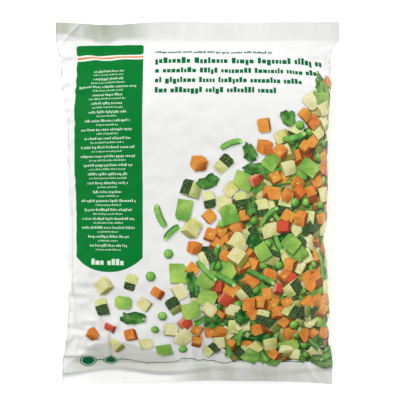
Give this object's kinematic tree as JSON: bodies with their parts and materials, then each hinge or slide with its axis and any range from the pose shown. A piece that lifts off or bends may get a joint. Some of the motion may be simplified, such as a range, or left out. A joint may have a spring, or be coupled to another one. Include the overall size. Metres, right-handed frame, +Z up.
{
  "type": "frozen vegetable bag",
  "caption": "Shut pillow bag of frozen diced vegetables, lying on its back: a full film body with a flat welded seal across each end.",
  "frame": {"origin": "on the floor under the middle of the bag, at the bottom centre of its box", "axes": "+X across the bag to the right of the printed face, +Y towards the top seal, +Z up out of the printed face"},
  "size_m": [0.3, 0.384, 0.0656],
  "materials": {
    "film": "opaque white printed film with a soft satin gloss and fine crinkles",
    "print_green": "flat green ink under the film's gloss",
    "print_food": "printed diced vegetables in orange, green, cream and red under the film's gloss"
  },
  "bodies": {
    "root": {"bag": "film"}
  },
  "joints": []
}
